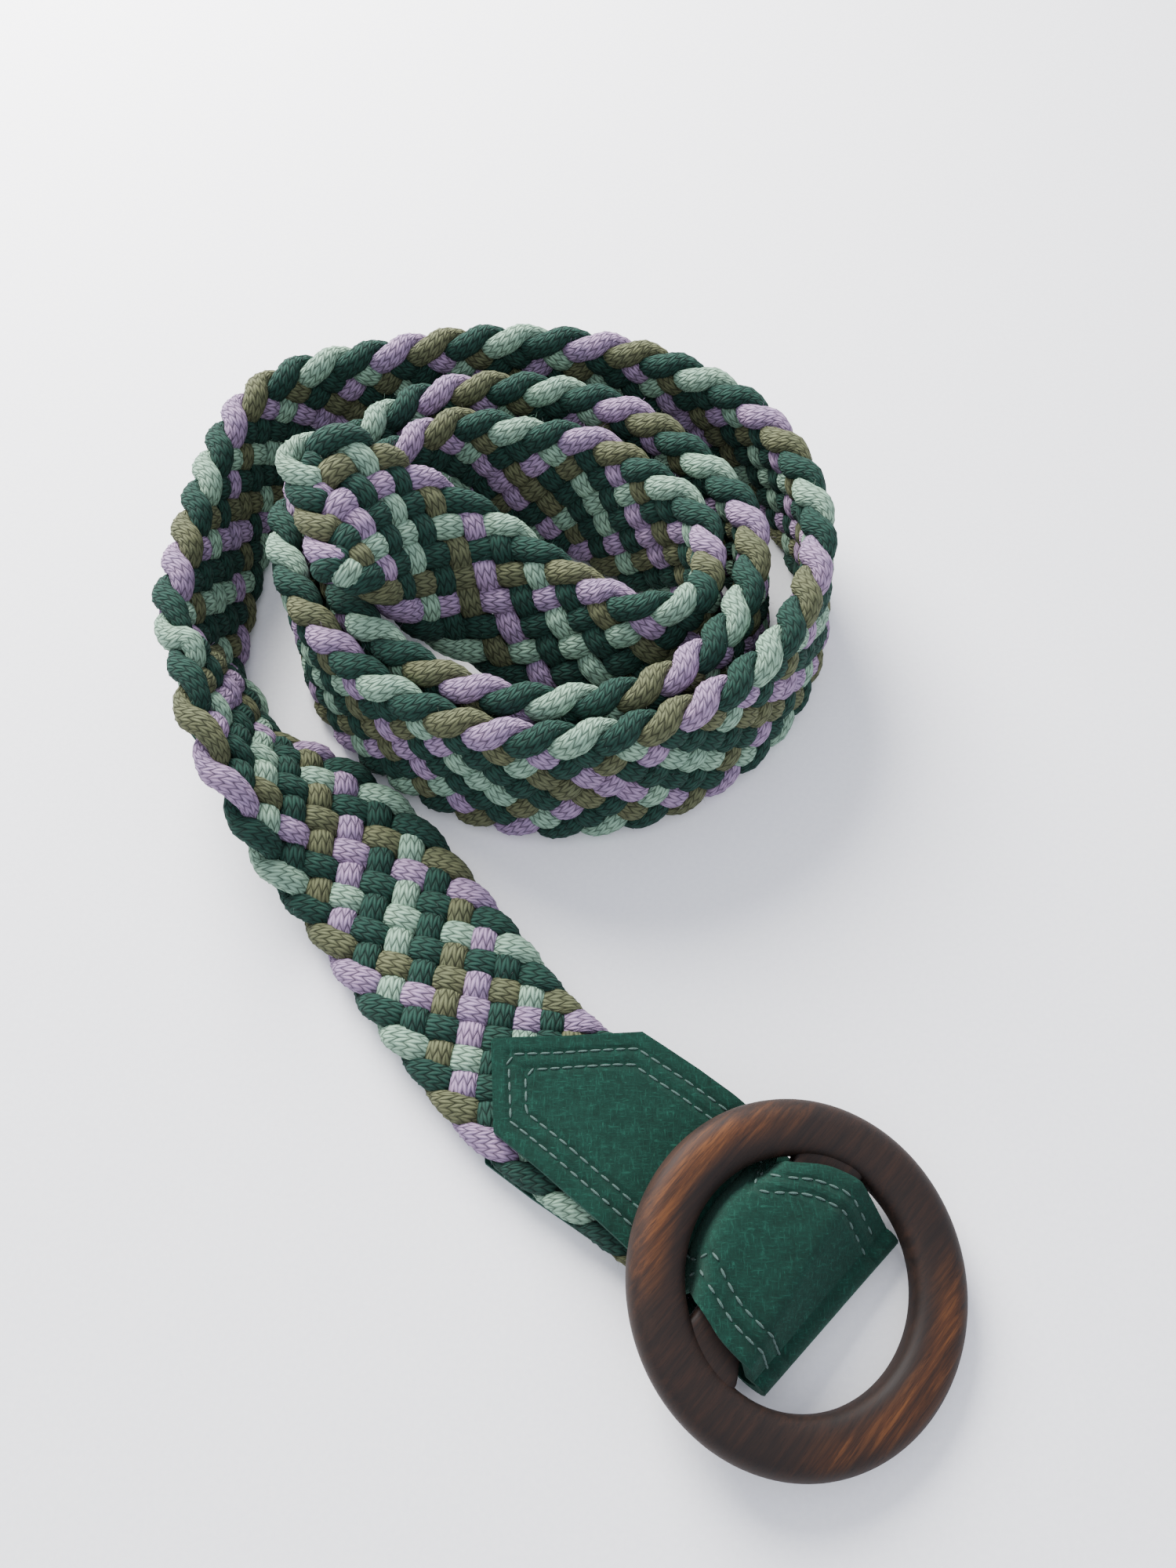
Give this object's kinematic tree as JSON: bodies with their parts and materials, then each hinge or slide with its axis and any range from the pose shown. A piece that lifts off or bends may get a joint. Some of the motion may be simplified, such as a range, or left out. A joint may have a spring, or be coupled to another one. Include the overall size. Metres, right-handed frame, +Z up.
{
  "type": "plaited belt",
  "caption": "Flat plaited cord belt lying loosely coiled, with a felt strap folded round the bar of a wooden ring at one end.",
  "frame": {"origin": "on the floor, under the middle of the belt's bounding box", "axes": "+Y from the ring's end towards the far side of the coil, +X to the right seen from the ring's end, +Z up from the surface that the belt lies on"},
  "size_m": [0.1732, 0.2664, 0.0599],
  "materials": {
    "plaited_cotton": "matt tubular knitted cotton cords in five colours, plaited flat",
    "wool_felt": "matt dark green wool felt with sewn edges",
    "stained_wood": "dark stained wood, semi-matt, with reddish grain"
  },
  "bodies": {
    "root": {"braid_band": "plaited_cotton", "felt_strap": "wool_felt", "ring_buckle": "stained_wood"}
  },
  "joints": []
}
